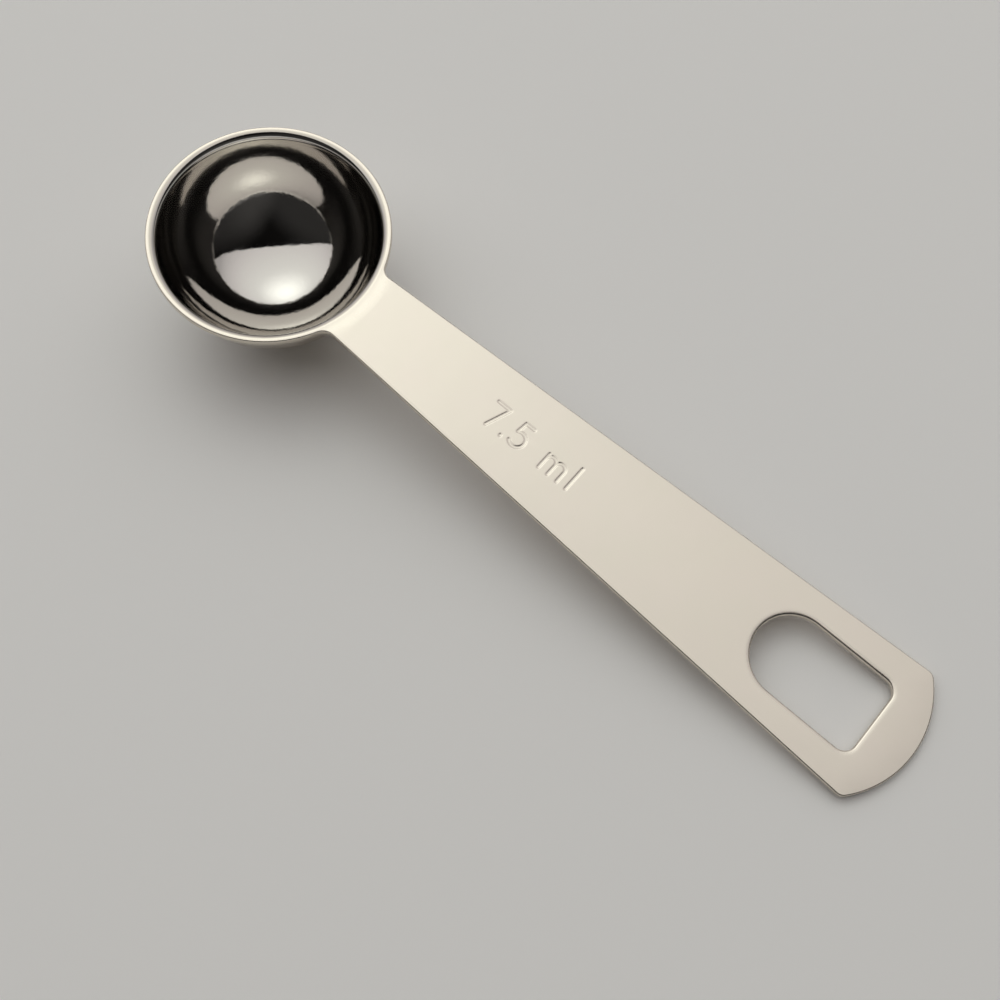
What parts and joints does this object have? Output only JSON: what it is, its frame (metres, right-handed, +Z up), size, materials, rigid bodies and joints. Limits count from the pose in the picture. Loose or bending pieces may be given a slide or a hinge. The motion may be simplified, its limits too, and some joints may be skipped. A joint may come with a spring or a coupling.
{
  "type": "measuring spoon",
  "caption": "Pressed steel measuring spoon with a half-round polished bowl and a flat satin handle that widens to a rounded end with a hanging slot.",
  "frame": {"origin": "on the table, under the middle of the spoon's length and width", "axes": "+Z up from the table, +X from the bowl towards the handle's end, spoon at rest on its bowl and its handle's tip"},
  "size_m": [0.1232, 0.0334, 0.0183],
  "materials": {
    "polished_steel": "mirror polished",
    "satin_steel": "satin"
  },
  "bodies": {
    "root": {"bowl": "polished_steel", "handle": "satin_steel"}
  },
  "joints": []
}
